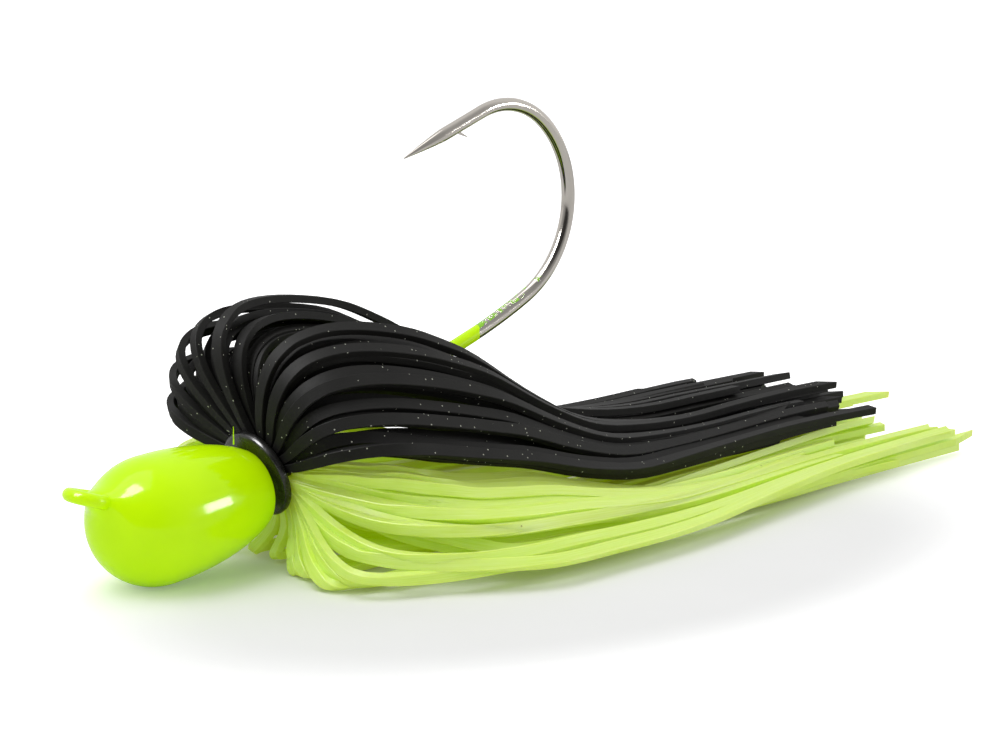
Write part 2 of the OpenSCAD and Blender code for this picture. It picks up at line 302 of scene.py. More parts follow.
COLLAR_DARK, COLLAR_PALE = (0.005, 0.005, 0.005), (0.014, 0.014, 0.012)
STREAK_DARK, STREAK_PALE = (0.0050, 0.0048, 0.0040), (0.0120, 0.0116, 0.0100)
CLOUD_DARK, CLOUD_PALE = (0.0050, 0.0048, 0.0042), (0.0115, 0.0110, 0.0095)
BLACK_DUST = (0.42, 0.43, 0.36)
CHARTREUSE_DEEP, CHARTREUSE_PALE = (0.56, 0.77, 0.09), (0.66, 0.85, 0.24)
CHARTREUSE_DUST = (0.30, 0.36, 0.04)
# Painted glow: the chartreuse strands give off a little yellow-green light, which brightens them.
CHARTREUSE_PAINTED_GLOW = (0.72, 0.82, 0.0, 1)


def make_head_paint():
    material, nodes, links, shader = new_material("head_paint")
    coords = object_coords(nodes)
    cloud = noise(nodes, links, coords, scale=160, detail=3)
    colour = ramp(nodes, links, cloud, [(0.3, PAINT_DEEP), (0.7, PAINT)])
    links.new(colour, shader.inputs["Base Color"])
    # Painted glow: the head's paint gives off a little light of its own colour.
    set_sockets(shader, {
        "Roughness": 0.16, "Specular IOR Level": 0.05,
        "Coat Weight": PAINT_COAT, "Coat Roughness": PAINT_COAT_ROUGH,
        "Emission Color": (*PAINT, 1), "Emission Strength": PAINT_PAINTED_GLOW})
    peel = noise(nodes, links, coords, scale=900, detail=1)
    bump(nodes, links, shader, peel, depth=0.00002, strength=0.35)
    return material


def make_hook_finish():
    """Bright nickel, with the head's paint on the line tie and along the shank."""
    material, nodes, links, shader = new_material("hook_finish")

    def both(first, second):
        return maths(nodes, links, "MULTIPLY", first, second)

    coords = object_coords(nodes)
    split = nodes.new("ShaderNodeSeparateXYZ")
    links.new(coords, split.inputs[0])
    x, z = split.outputs["X"], split.outputs["Z"]
    grain = noise(nodes, links, coords, scale=900, detail=3)
    ragged = maths(nodes, links, "MULTIPLY_ADD", grain, PAINT_RAGGED, -PAINT_RAGGED / 2)
    edge = maths(nodes, links, "ADD", x, ragged)
    full = maths(nodes, links, "LESS_THAN", edge, PAINT_END_X)
    # Beyond it, flecks are left on the upper side only, and fewer towards the bend
    wear = maths(nodes, links, "MULTIPLY_ADD", x, FLECK_WEAR, FLECK_START)
    chips = noise(nodes, links, coords, scale=1500, detail=4, rough=0.7)
    flecks = maths(nodes, links, "GREATER_THAN", chips, wear)
    height = maths(nodes, links, "MULTIPLY_ADD", x, UPPER_TILT, z)
    upper = maths(nodes, links, "GREATER_THAN", height, UPPER_LEVEL)
    ahead_of_bend = maths(nodes, links, "LESS_THAN", x, FLECK_END_X)
    flecks = both(both(flecks, upper), ahead_of_bend)
    below_throat = maths(nodes, links, "LESS_THAN", z, PAINT_TOP_Z)
    painted = both(maths(nodes, links, "MAXIMUM", full, flecks), below_throat)
    paint = mix_colour(nodes, links, full, FLECK, PAINT)
    links.new(mix_colour(nodes, links, painted, NICKEL, paint), shader.inputs["Base Color"])
    set_sockets(shader, {
        "Specular IOR Level": 0.1, "Coat Roughness": PAINT_COAT_ROUGH, "Emission Color": (*PAINT, 1)})
    links.new(both(painted, PAINT_COAT), shader.inputs["Coat Weight"])
    # Painted glow where the hook is fully painted, as on the head.
    links.new(both(both(full, below_throat), PAINT_PAINTED_GLOW), shader.inputs["Emission Strength"])
    links.new(maths(nodes, links, "SUBTRACT", 1.0, painted), shader.inputs["Metallic"])
    scuffs = noise(nodes, links, coords, scale=700, detail=4, rough=0.6)
    metal_rough = maths(nodes, links, "MULTIPLY_ADD", scuffs, SCUFF_ROUGH, BRIGHT_ROUGH)
    vary_roughness(nodes, links, shader, painted, least=metal_rough, spread=PAINT_ROUGH)
    relief = maths(nodes, links, "MULTIPLY_ADD", scuffs, SCUFF_RELIEF, painted)
    bump(nodes, links, shader, relief, depth=0.00003, strength=0.4)
    return material


def make_collar_rubber():
    material, nodes, links, shader = new_material("collar_rubber")
    coords = object_coords(nodes)
    cloud = noise(nodes, links, coords, scale=700, detail=3)
    colour = ramp(nodes, links, cloud, [(0.3, COLLAR_DARK), (0.8, COLLAR_PALE)])
    links.new(colour, shader.inputs["Base Color"])
    vary_roughness(nodes, links, shader, cloud, least=0.15, spread=0.25)
    grain = noise(nodes, links, coords, scale=2600, detail=2)
    bump(nodes, links, shader, grain, depth=0.00004, strength=0.4)
    return material


def make_black_rubber():
    material, nodes, links, shader = new_material("black_strand_rubber")
    coords = object_coords(nodes)
    streak = streaks(nodes, links, along=0.12, across=5.0)
    cloud = noise(nodes, links, coords, scale=300, detail=3)
    streaked = ramp(nodes, links, streak, [(0.25, STREAK_DARK), (0.75, STREAK_PALE)])
    clouded = ramp(nodes, links, cloud, [(0.3, CLOUD_DARK), (0.75, CLOUD_PALE)])
    body = mix_colour(nodes, links, 0.5, streaked, clouded)
    dust = specks(nodes, links, coords, scale=2300, share=0.12, size=0.17)
    links.new(mix_colour(nodes, links, dust, body, BLACK_DUST), shader.inputs["Base Color"])
    vary_roughness(nodes, links, shader, streak, least=0.55, spread=0.18)
    shader.inputs["Specular IOR Level"].default_value = 0.14
    grain = noise(nodes, links, coords, scale=2400, detail=3)
    bump(nodes, links, shader, grain, depth=0.00005, strength=0.35)
    return material


def make_chartreuse_rubber():
    material, nodes, links, shader = new_material("chartreuse_strand_rubber")
    coords = object_coords(nodes)
    streak = streaks(nodes, links, along=0.10, across=4.0)
    body = ramp(nodes, links, streak, [(0.25, CHARTREUSE_DEEP), (0.75, CHARTREUSE_PALE)])
    dust = specks(nodes, links, coords, scale=700, share=0.02, size=0.08)
    links.new(mix_colour(nodes, links, dust, body, CHARTREUSE_DUST), shader.inputs["Base Color"])
    vary_roughness(nodes, links, shader, streak, least=0.38, spread=0.15)
    # Painted glow on the chartreuse strands, besides their subsurface translucency.
    set_sockets(shader, {
        "Subsurface Weight": 0.5, "Subsurface Radius": (1.0, 1.0, 0.15), "Subsurface Scale": 0.0009,
        "Emission Color": CHARTREUSE_PAINTED_GLOW, "Emission Strength": 0.09})
    grain = noise(nodes, links, coords, scale=2000, detail=2)
    bump(nodes, links, shader, grain, depth=0.00004, strength=0.3)
    return material


head_paint = make_head_paint()
hook_finish = make_hook_finish()
collar_rubber = make_collar_rubber()
black_rubber = make_black_rubber()
chartreuse_rubber = make_chartreuse_rubber()


# Turned pieces: head and collar, in mm

EGG_POINTS, HEAD_STEPS, STEM_STEPS, THREAD_STEPS, COLLAR_STEPS = 30, 128, 64, 12, 96
RIM_BACK, RIM_ROUND, RIM_CLEAR = 0.35, 0.5, 1.2
# Paint gathered where the leg leaves the nose: how high it rises, and how it falls off around the leg
GATHER_RISE, GATHER_CORE, GATHER_FALL, GATHER_POWER = 2.0, 0.45, 0.75, 1.2
GATHER_ACROSS, GATHER_BEHIND, GATHER_WIDTH = 0.55, -6, 4
STEM_IN = 1.5
STEM_TIP = [
    (STEM_LEN - 0.6, STEM_R), (STEM_LEN - 0.2, STEM_R - 0.2), (STEM_LEN, STEM_R - 0.6), (STEM_LEN, 0.0)]
THREAD_PROFILE = [(-0.2, 0.0), (-0.2, 0.09), (0.5, 0.06), (1.5, 0.03), (1.55, 0.0)]
THREAD_FOOT = SEAT - 0.5 * SHANK_DIR + 3.7 * SHANK_UP + 0.9 * ACROSS
THREAD_LEAN = 0.35
COLLAR_END = LIP_T + GROOVE_W + SLEEVE_LEN
LIP_ROUND, EDGE_ROUND = 0.38, 0.12
CORNER_STEPS = 4


def turned(name, profile, matrix, steps):
    """Spins a profile of (along, radius) points, in mm, about the local X axis."""
    deselect()
    bpy.ops.mesh.primitive_plane_add(size=1, location=(0, 0, 0))
    piece = bpy.context.object
    edit(piece)
    bpy.ops.mesh.merge(type="CENTER")
    bpy.ops.mesh.select_all(action="SELECT")
    first = Vector((profile[0][0], 0, profile[0][1])) * MM
    bpy.ops.transform.translate(value=first)
    for a, b in zip(profile, profile[1:]):
        move = Vector((b[0] - a[0], 0, b[1] - a[1])) * MM
        bpy.ops.mesh.extrude_region_move(TRANSFORM_OT_translate={"value": move})
    bpy.ops.mesh.select_all(action="SELECT")
    bpy.ops.mesh.spin(steps=steps, angle=2 * math.pi, center=(0, 0, 0), axis=(1, 0, 0))
    bpy.ops.mesh.select_all(action="SELECT")
    bpy.ops.mesh.remove_doubles(threshold=1e-7)
    bpy.ops.mesh.normals_make_consistent(inside=False)
    leave_edit()
    piece.matrix_world = matrix
    place_in_mesh(piece)
    piece.name = name
    return piece


def round_corner(a, corner, b, radius):
    """Points of a rounded corner between the lines to a and b."""
    a, corner, b = (np.array(point, float) for point in (a, corner, b))
    start = corner + (a - corner) / np.linalg.norm(a - corner) * radius
    end = corner + (b - corner) / np.linalg.norm(b - corner) * radius
    places = [k / CORNER_STEPS for k in range(CORNER_STEPS + 1)]
    return [tuple((1 - f) ** 2 * start + 2 * f * (1 - f) * corner + f * f * end) for f in places]


def head_profile():
    """The egg from its nose to a rounded rim just ahead of the collar's seat."""
    angles = np.linspace(0, math.pi / 2, EGG_POINTS)
    nose = [(-NOSE_LEN * math.cos(a), HEAD_R * math.sin(a)) for a in angles]
    rear = [(TAIL_LEN * math.sin(a), HEAD_R * math.cos(a) ** TAIL_FULL) for a in angles[1:]]
    seat_along = float((SEAT - HEAD_MID) @ slope(HEAD_TILT))
    rim_along = seat_along - RIM_BACK
    rim = (rim_along, HEAD_R * math.cos(math.asin(rim_along / TAIL_LEN)) ** TAIL_FULL)
    profile = nose + [point for point in rear if point[0] < seat_along - RIM_CLEAR]
    profile += round_corner(profile[-1], rim, (rim_along, 0.0), RIM_ROUND)
    return profile + [(rim_along, 1.0), (rim_along, 0.0)]


def gather_paint(head):
    """Draws the nose out round the leg, where paint gathers."""
    leg_out = -slope(-LEG_TILT)
    for vertex in head.data.vertices:
        at = np.array(vertex.co) / MM
        ahead = float(at @ leg_out)
        beside = at - ahead * leg_out
        apart = math.hypot(GATHER_ACROSS * beside[1], math.hypot(beside[0], beside[2]))
        if ahead > GATHER_BEHIND and apart < GATHER_WIDTH:
            outside = max(0.0, apart - GATHER_CORE)
            rise = GATHER_RISE * math.exp(-(outside / GATHER_FALL) ** GATHER_POWER)
            vertex.co += Vector(leg_out * rise * MM)


def make_head():
    egg_place = frame_matrix(HEAD_MID, slope(HEAD_TILT), slope(HEAD_TILT + 90))
    head = turned("head_casting", head_profile(), egg_place, HEAD_STEPS)
    gather_paint(head)
    apply_modifier(head, "SUBSURF", levels=1, render_levels=1)
    stem_profile = [(-STEM_IN, 0.0), (-STEM_IN, STEM_R)] + STEM_TIP
    stem = turned("keeper_stem", stem_profile, frame_matrix(SEAT, SHANK_DIR, SHANK_UP), STEM_STEPS)
    # A thread of paint stands up from the rear edge
    thread_place = frame_matrix(THREAD_FOOT, SHANK_UP + THREAD_LEAN * SHANK_DIR, SHANK_DIR)
    thread = turned("paint_thread", THREAD_PROFILE, thread_place, THREAD_STEPS)
    join(head, (stem, thread))
    smooth(head, degrees=50)
    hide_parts("head")
    name_piece(head, "head_casting", "head_and_hook", head_paint)


def make_collar():
    corners = [
        (0.0, BORE_R), (0.0, LIP_R), (LIP_T, LIP_R), (LIP_T, GROOVE_R),
        (LIP_T + GROOVE_W, GROOVE_R), (LIP_T + GROOVE_W, SLEEVE_R),
        (COLLAR_END, SLEEVE_R), (COLLAR_END, BORE_R)]
    full_corners = (1, 2, 6)
    profile = []
    for k, corner in enumerate(corners):
        radius = LIP_ROUND if k in full_corners else EDGE_ROUND
        profile += round_corner(corners[k - 1], corner, corners[(k + 1) % len(corners)], radius)
    profile.append(profile[0])
    collar = turned("skirt_collar_rubber", profile, frame_matrix(SEAT, SHANK_DIR, SHANK_UP), COLLAR_STEPS)
    smooth(collar, degrees=60)
    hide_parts("skirt_collar")
    name_piece(collar, "skirt_collar_rubber", "collar", collar_rubber)


# Hook, in mm

LEG_START, LEG_PLACES = 1.4, (0.4, 0.7, 0.95)
SHANK_START, SHANK_POINTS = 0.8, 26
SWEEP_POINTS, BEND_POINTS, THROAT_POINTS = 8, 44, 26
SPEAR_START, SPEAR_POINTS = 0.6, 6
POINT_START, POINT_POINTS, POINT_POWER = 0.06, 16, 1.25
RING_R = TIE_BORE_R + TIE_WIRE_R - TIE_DRESS
RING_STEPS, RING_WIRE_STEPS = 72, 32
# Paint on the ring: where it starts, how far on it is full, how thick and how fast it grows
RING_PAINT_FROM, RING_PAINT_RUN, RING_PAINT, RING_PAINT_POWER = 0.1, 1.5, 0.25, 1.5
BARB_CUTS, BARB_THICK, BARB_TIP, BARB_NARROW, BARB_BEVEL = 7, 0.55, 0.03, 0.75, 0.03
BARB_SUNK, BARB_TAPER, BARB_SWEEP = 0.35, 0.8, 1.2


def arc_points(start, heading, radius, turn, count):
    """Points along an arc in the hook's plane that starts at a heading and turns upwards."""
    centre = start + radius * slope(heading + 90)
    return [centre - radius * slope(heading + turn * k / count + 90) for k in range(1, count + 1)]


def hook_course():
    """Centre line of the wire from the front leg to the point, with its radius at each place."""
    course = [(LEG_START * slope(-LEG_TILT), LEG_R)]
    course += [(LEG_LEN * f * slope(-LEG_TILT), LEG_R) for f in LEG_PLACES]
    course += [(KINK + SHANK_DIR * d, WIRE_R) for d in np.linspace(SHANK_START, SHANK_LEN, SHANK_POINTS)]
    at, heading = KINK + SHANK_LEN * SHANK_DIR, SHANK_TILT
    stages = (
        (SWEEP_R, SWEEP_TURN, SWEEP_POINTS),
        (BEND_R, BEND_TURN, BEND_POINTS),
        (THROAT_R, THROAT_TURN, THROAT_POINTS))
    for stage, (radius, turn, count) in enumerate(stages, 1):
        points = arc_points(at, heading, radius, turn, count)
        course += [(point, WIRE_R - stage * DRAW_DOWN) for point in points]
        at, heading = points[-1], heading + turn
    ahead = slope(heading)
    straight = SPEAR_LEN - POINT_LEN
    course += [(at + ahead * d, SPEAR_R) for d in np.linspace(SPEAR_START, straight, SPEAR_POINTS)]
    for f in np.linspace(POINT_START, 1, POINT_POINTS):
        worn = f ** POINT_POWER
        course.append((at + ahead * (straight + POINT_LEN * f), SPEAR_R * (1 - worn) + TIP_R * worn))
    return course, at, ahead


def make_wire(course):
    deselect()
    bpy.ops.curve.primitive_nurbs_path_add()
    wire = bpy.context.object
    wire.data.splines.clear()
    spline = wire.data.splines.new("POLY")
    spline.points.add(len(course) - 1)
    for point, (place, radius) in zip(spline.points, course):
        point.co = (*(place * MM), 1)
        point.radius = radius
    wire.data.dimensions = "3D"
    wire.data.bevel_depth = MM
    wire.data.bevel_resolution = 10
    wire.data.use_fill_caps = True
    wire.location = (0, 0, 0)
    pick(wire)
    bpy.ops.object.convert(target="MESH")
    place_in_mesh(wire)
    return wire


def make_line_tie():
    """A ring that paint thickens towards the nose, with its bore dressed to a short straight wall."""
    deselect()
    bpy.ops.mesh.primitive_torus_add(
        major_radius=RING_R * MM, minor_radius=TIE_WIRE_R * MM,
        major_segments=RING_STEPS, minor_segments=RING_WIRE_STEPS)
    ring = bpy.context.object
    for vertex in ring.data.vertices:
        out = math.hypot(vertex.co.x, vertex.co.y)
        middle = Vector((vertex.co.x / out, vertex.co.y / out, 0)) * RING_R * MM
        near_nose = min(1.0, max(0.0, (middle.x / MM - RING_PAINT_FROM) / RING_PAINT_RUN))
        vertex.co = middle + (vertex.co - middle) * (1 + RING_PAINT * near_nose ** RING_PAINT_POWER)
        out = math.hypot(vertex.co.x, vertex.co.y)
        if out < TIE_BORE_R * MM:
            vertex.co.x *= TIE_BORE_R * MM / out
            vertex.co.y *= TIE_BORE_R * MM / out
    ring.matrix_world = frame_matrix((0, 0, 0), slope(-LEG_TILT), slope(90 - LEG_TILT))
    place_in_mesh(ring)
    return ring


def make_barb(throat_end, ahead):
    """A thin spur cut out of the wire, which points back towards the bend."""
    root = throat_end + ahead * (SPEAR_LEN - BARB_SET)
    inward = np.array([-ahead[2], 0.0, ahead[0]])
    inward = inward if inward[2] < 0 else -inward
    deselect()
    bpy.ops.mesh.primitive_cube_add(size=1)
    barb = bpy.context.object
    edit(barb, "EDGE")
    choose_long_edges(barb)
    bpy.ops.mesh.subdivide(number_cuts=BARB_CUTS)
    leave_edit()
    for vertex in barb.data.vertices:
        f = vertex.co.x + 0.5
        thick = BARB_THICK * (1 - f) ** BARB_TAPER + BARB_TIP
        wide = BARB_W * (1 - BARB_NARROW * f)
        rise = (SPEAR_R * (1 - BARB_SUNK) + BARB_RISE) * f ** BARB_SWEEP
        out = SPEAR_R * BARB_SUNK + rise - thick * BARB_SUNK * (1 - f)
        at = root - ahead * BARB_LEN * f + inward * (out + vertex.co.z * thick) + ACROSS * vertex.co.y * wide
        vertex.co = Vector(at * MM)
    edit(barb)
    bpy.ops.mesh.select_all(action="SELECT")
    bpy.ops.mesh.normals_make_consistent(inside=False)
    leave_edit()
    apply_modifier(barb, "BEVEL", width=BARB_BEVEL * MM, segments=2, limit_method="ANGLE")
    return barb


def make_hook():
    course, throat_end, ahead = hook_course()
    wire = make_wire(course)
    ring = make_line_tie()
    barb = make_barb(throat_end, ahead)
    join(wire, (ring, barb))
    smooth(wire, degrees=55)
    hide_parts("hook")
    name_piece(wire, "hook_wire", "head_and_hook", hook_finish)


# Skirt strands: lengths in mm, and places from 0 at the root to 1 at the tip

ROWS, RINGS = 3, 20
BLACK_LAST, CHARTREUSE_LAST = 9, 7
BAR_W, BAR_T, BAR_ROUND, BAR_CUTS = 1.2, 0.74, 0.05, 62
STRAND_LEN, HALF_GIRTH, MAP_SHIFT = 80, 0.6, 400
BOW_FIRST, BOW_LAST = 1, 10
BOW_PASSES, PULL_LEAST, PULL_MOST = 3, 0.5, 2.2
# Strays of a strand from its solid: sideways, outwards and at the tip, and where they set in
SWAY, SWAY_WAVES, SWAY_FROM, SWAY_SPAN = 0.5, (0.7, 1.4), 0.10, 0.22
OUT_STRAY, OUT_SPAN = (-0.35, 0.45), 0.5
TIP_LIFT, TIP_FROM, TIP_SPAN = 0.4, 0.45, 0.5
# The swell of the near strands over the floor
BELLY_OUT = np.array([-0.62, -0.78, -0.3])
BELLY_START, BELLY_SPAN, BELLY_POWER = 0.05, 0.52, 1.6
FLOOR_EASE, FLOOR_GAP = 0.35, 0.02
EASE_SPAN, EASE_IN, EASE_SHARES = 0.055, 0.12, (-1, -0.5, 0, 0.5, 1)
TANGENT_STEP = 0.006
TIP_PLACE, CUT_SLANT = 0.999, 0.022
TWIST_FROM, TWIST_SPAN, TWIST_SHARE, TWIST_WAVES = 0.15, 0.3, (0.4, 1.0), (0.5, 1.3)
ROLL_FROM, ROLL_SPAN = 0.06, 0.12
SOLID_TWIST = {"black": 14, "chartreuse": 7}
FILLER_TWIST = {"black": 24, "chartreuse": 10}
# Black strands numbered after this one stand out in a fuller bow
FULL_BOW, FULL_BOW_AFTER = 1.05, 12
# How the filling strands lie among the columns and rows of the solids
CELL_PLACES, CELL_STRAY, ROW_STRAY = (0.33, 0.67), 0.08, 0.3
EDGE_CELL, EDGE_ROOM = 3, 0.25
NEAR_ROW, NEAR_ROW_SPAN, ROW_SPAN = 0.7, 1.3, 2
REACH = (0.89, 1.0)
LOOSE_STRAY, FIRM_STRAY, FIRM_FAN = 1.3, 0.8, 0.6
FILLER_FAN = {"black": 0.9, "chartreuse": 1.8}
FAR_BOW, FILLER_BOW = 0.8, (0.97, 1.05)
OUTER_STRANDS, OUTER_FROM, OUTER_SPAN, OUTER_ROWS = 9, 0.6, 2.6, (0.0, 0.25)
OUTER_ROLL, OUTER_PUSH = (0.05, 0.4), (4.4, 5.5)
PUSH_FROM, PUSH_SPAN, PUSH_POWER = 0.12, 0.98, 0.9
LONG_ROWS, LONG_COLUMNS = ((1.9, 1.05), (1.6, 1.04), (1.2, 1.02)), (0.0, 0.4)
LOW_ROWS, LOW_COLUMNS = (0.0, 0.4), (-0.3, -0.12)


def make_bar():
    """One straight strand, one unit long, that every strand of the skirt is bent from."""
    deselect()
    bpy.ops.mesh.primitive_cube_add(size=1)
    bar = bpy.context.object
    bar.scale = (1, BAR_W, BAR_T)
    place_in_mesh(bar)
    edit(bar, "EDGE")
    choose_long_edges(bar)
    bpy.ops.mesh.bevel(offset=BAR_ROUND, segments=1, affect="EDGES")
    choose_long_edges(bar)
    bpy.ops.mesh.subdivide(number_cuts=BAR_CUTS)
    leave_edit()
    bar.name = "straight_strand"
    return bar


def corner_rings(node):
    """The corners of a strand's solid, four to a ring, from its root to its tip."""
    shape = bmesh.new()
    shape.from_mesh(frame["nodes"][node].data)
    bmesh.ops.remove_doubles(shape, verts=shape.verts, dist=2e-6)
    shape.verts.ensure_lookup_table()
    at = np.array([v.co for v in shape.verts]) / MM
    near = [{e.other_vert(v).index for e in v.link_edges} for v in shape.verts]
    shape.free()
    ring = list(np.argsort(np.linalg.norm(at - GROOVE_MID, axis=1))[:4])
    seen = set(ring)
    rings = []
    while ring:
        rings.append(at[ring])
        ring = sorted(set().union(*(near[v] for v in ring)) - seen)
        seen.update(ring)
    if len(rings) != RINGS or any(len(r) != 4 for r in rings):
        raise ValueError(f"{node} isn't a strand of {RINGS} rings of four corners")
    return rings


def strand_rings(node):
    """A strand's solid as rings from its root, each as (middle, width, thickness)."""
    rings = corner_rings(node)
    middle = rings[0].mean(0)
    out = middle - GROOVE_MID
    out = out - (out @ SHANK_DIR) * SHANK_DIR
    # Corners in the order (+width +thick), (-width +thick), (-width -thick), (+width -thick)
    wanted = [(1, 1), (-1, 1), (-1, -1), (1, -1)]
    sideways = np.sign((rings[0] - middle) @ np.cross(SHANK_DIR, out))
    forwards = np.sign((rings[0] - middle) @ -SHANK_DIR)
    first = [int(np.argmax(2 * w * sideways + t * forwards)) for w, t in wanted]
    ordered = [rings[0][first]]
    for ring in rings[1:]:
        last = ordered[-1] - ordered[-1].mean(0)
        here = ring - ring.mean(0)
        orders = [list(order) for order in itertools.permutations(range(4))]
        best = min(orders, key=lambda order: float(((here[order] - last) ** 2).sum()))
        ordered.append(ring[best])
    corners = np.array(ordered)
    middle = corners.mean(1)
    width = (corners[:, 0] + corners[:, 3] - corners[:, 1] - corners[:, 2]) / 2
    thick = (corners[:, 0] + corners[:, 1] - corners[:, 2] - corners[:, 3]) / 2
    return np.stack([middle, width, thick], 1)


def along_rings(rings, places):
    """Smooth values among the rings, from root to tip and straight on beyond the tip."""
    count = len(rings)
    longer = np.concatenate([[2 * rings[0] - rings[1]], rings, [2 * rings[-1] - rings[-2]]])
    u = np.maximum(np.asarray(places), 0) * (count - 1)
    inside = np.minimum(u, count - 1)
    k = np.minimum(inside.astype(int), count - 2)
    f = (inside - k)[:, None, None]
    p0, p1, p2, p3 = (longer[k + j] for j in range(4))
    curve = 2 * p0 - 5 * p1 + 4 * p2 - p3 + f * (3 * (p1 - p2) + p3 - p0)
    values = p1 + 0.5 * f * (p2 - p0 + f * curve)
    values[:, 0] += (u - inside)[:, None] * (rings[-1, 0] - rings[-2, 0])
    return values


def rounded(rings, swell):
    """Makes one round bow of the front of a course, from the collar's lip to past the bulge."""
    middle = rings[:, 0]
    front = slice(BOW_FIRST, BOW_LAST + 1)
    start, end = middle[BOW_FIRST], middle[BOW_LAST]
    lead = unit(middle[BOW_FIRST + 1] - middle[BOW_FIRST - 1])
    trail = unit(middle[BOW_LAST + 1] - middle[BOW_LAST - 1])
    steps = np.linalg.norm(np.diff(middle[front], axis=0), axis=1)
    t = np.concatenate([[0], np.cumsum(steps)]) / steps.sum()
    for _ in range(BOW_PASSES):
        at_start = (2 * t ** 3 - 3 * t ** 2 + 1)[:, None]
        from_start = (t ** 3 - 2 * t ** 2 + t)[:, None]
        at_end = (3 * t ** 2 - 2 * t ** 3)[:, None]
        to_end = (t ** 3 - t ** 2)[:, None]
        fixed = at_start * start + at_end * end
        sides = np.stack([(from_start * lead).ravel(), (to_end * trail).ravel()], 1)
        pull = np.linalg.lstsq(sides, (middle[front] - fixed).ravel(), rcond=None)[0]
        pull = np.clip(pull, PULL_LEAST * steps.sum(), PULL_MOST * steps.sum())
        bow = fixed + from_start * pull[0] * lead + to_end * pull[1] * trail
        runs = np.linalg.norm(np.diff(bow, axis=0), axis=1)
        run_places = np.concatenate([[0], np.cumsum(runs)]) / runs.sum()
        t = 0.5 * t + 0.5 * np.interp(np.linspace(0, 1, len(t)), run_places, t)
    # The bow stands out from the line between its ends as far as the bulge does
    chord = unit(end - start)
    outward = unit(lead - (lead @ chord) * chord)
    full = ((middle[front] - start) @ outward).max() / ((bow - start) @ outward).max()
    out = rings.copy()
    out[front, 0] = fixed + swell * full * (bow - fixed)
    return out


def wander(places, fan):
    """A strand's own small stray from its solid: sideways, outwards and a lift of the tip, in mm."""
    free = fade(places, SWAY_FROM, SWAY_SPAN)
    loose = fade(places, TIP_FROM, TIP_SPAN)
    shift = DRAWS.uniform(-SWAY, SWAY)
    sway = DRAWS.uniform(-SWAY, SWAY)
    waves = DRAWS.uniform(*SWAY_WAVES)
    start = DRAWS.uniform(0, 1)
    side = shift + sway * np.sin(2 * math.pi * (places * waves + start))
    out = DRAWS.uniform(*OUT_STRAY) * np.sin(math.pi * fade(places, 0, OUT_SPAN))
    tip_side = DRAWS.normal(0, fan) * loose ** 2
    tip_lift = abs(DRAWS.normal(0, TIP_LIFT)) * loose ** 2.5
    return free * side + tip_side, free * out, tip_lift


def over_floor(rings, places, push):
    """A course that is pushed out over the floor at its bulge, and eased on to the floor."""
    course = along_rings(rings, places)
    bulge = np.sin(math.pi * fade(places, BELLY_START, BELLY_SPAN)) ** BELLY_POWER
    course[:, 0] += np.outer(bulge, push * BELLY_OUT)
    above = course[:, 0, 2] - (FLOOR_Z + BAR_T * 0.5)
    course[:, 0, 2] += (np.hypot(above, FLOOR_EASE) - above) / 2
    return course


def laid_course(rings, places, push):
    """A course over the floor. One that is pushed out is eased along its length, to turn in a round bow."""
    if not push:
        return over_floor(rings, places, push)
    ease = EASE_SPAN * fade(places, 0, EASE_IN)
    return np.mean([over_floor(rings, places + share * ease, push) for share in EASE_SHARES], axis=0)


def bend_bar(bar, rings, twist, slant, reach=1.0, stray=1.0, fan=0.8, swell=1.0, push=0.0, roll=0.0):
    """A copy of the straight strand, bent along the rings of a solid."""
    mesh = bar.data.copy()
    piece = bpy.data.objects.new("strand", mesh)
    bpy.context.scene.collection.objects.link(piece)
    local = np.array([v.co for v in mesh.vertices])
    u = local[:, 0] + 0.5
    at_tip = u > TIP_PLACE
    u = np.where(at_tip, u + slant * local[:, 1] / BAR_W, u) * reach
    side, out, lift = wander(np.arange(RINGS) / (RINGS - 1), fan)
    sides = units(rings[:, 1:])
    rings = rounded(rings, swell)
    rings[:, 0] += stray * (side[:, None] * sides[:, 0] + out[:, None] * sides[:, 1])
    rings[:, 0, 2] += stray * lift
    course = laid_course(rings, u, push)
    after = laid_course(rings, u + TANGENT_STEP, push)[:, 0]
    before = laid_course(rings, u - TANGENT_STEP, push)[:, 0]
    ahead = units(after - before)
    middle, width, thick = course[:, 0], course[:, 1], course[:, 2]
    wide = np.linalg.norm(width, axis=1, keepdims=True)
    deep = np.linalg.norm(thick, axis=1, keepdims=True)
    across = units(width - (width * ahead).sum(1, keepdims=True) * ahead)
    face = np.cross(ahead, across)
    most, waves, start = twist
    turn = most * np.sin(2 * math.pi * (waves * u + start)) * fade(u, TWIST_FROM, TWIST_SPAN)
    turn = (turn + roll * fade(u, ROLL_FROM, ROLL_SPAN))[:, None]
    turned_across = np.cos(turn) * across + np.sin(turn) * face
    turned_face = np.cos(turn) * face - np.sin(turn) * across
    place = middle + local[:, 1:2] / BAR_W * wide * turned_across + local[:, 2:3] / BAR_T * deep * turned_face
    place[:, 2] = np.maximum(place[:, 2], FLOOR_Z + FLOOR_GAP)
    mesh.vertices.foreach_set("co", (place * MM).astype(np.float32).ravel())
    mesh.update()
    lay_strip_map(mesh, local, u)
    return piece


def lay_strip_map(mesh, local, u):
    """A flat map of a strand: its length in mm one way and its girth in mm the other."""
    girth = np.arctan2(local[:, 2], local[:, 1])
    layer = mesh.uv_layers.new(name="strip")
    corner = np.empty(len(mesh.loops), dtype=int)
    mesh.loops.foreach_get("vertex_index", corner)
    shift = DRAWS.uniform(0, MAP_SHIFT)
    places = np.stack([u[corner] * STRAND_LEN + shift, np.abs(girth[corner]) * HALF_GIRTH + shift], 1)
    layer.data.foreach_set("uv", places.astype(np.float32).ravel())


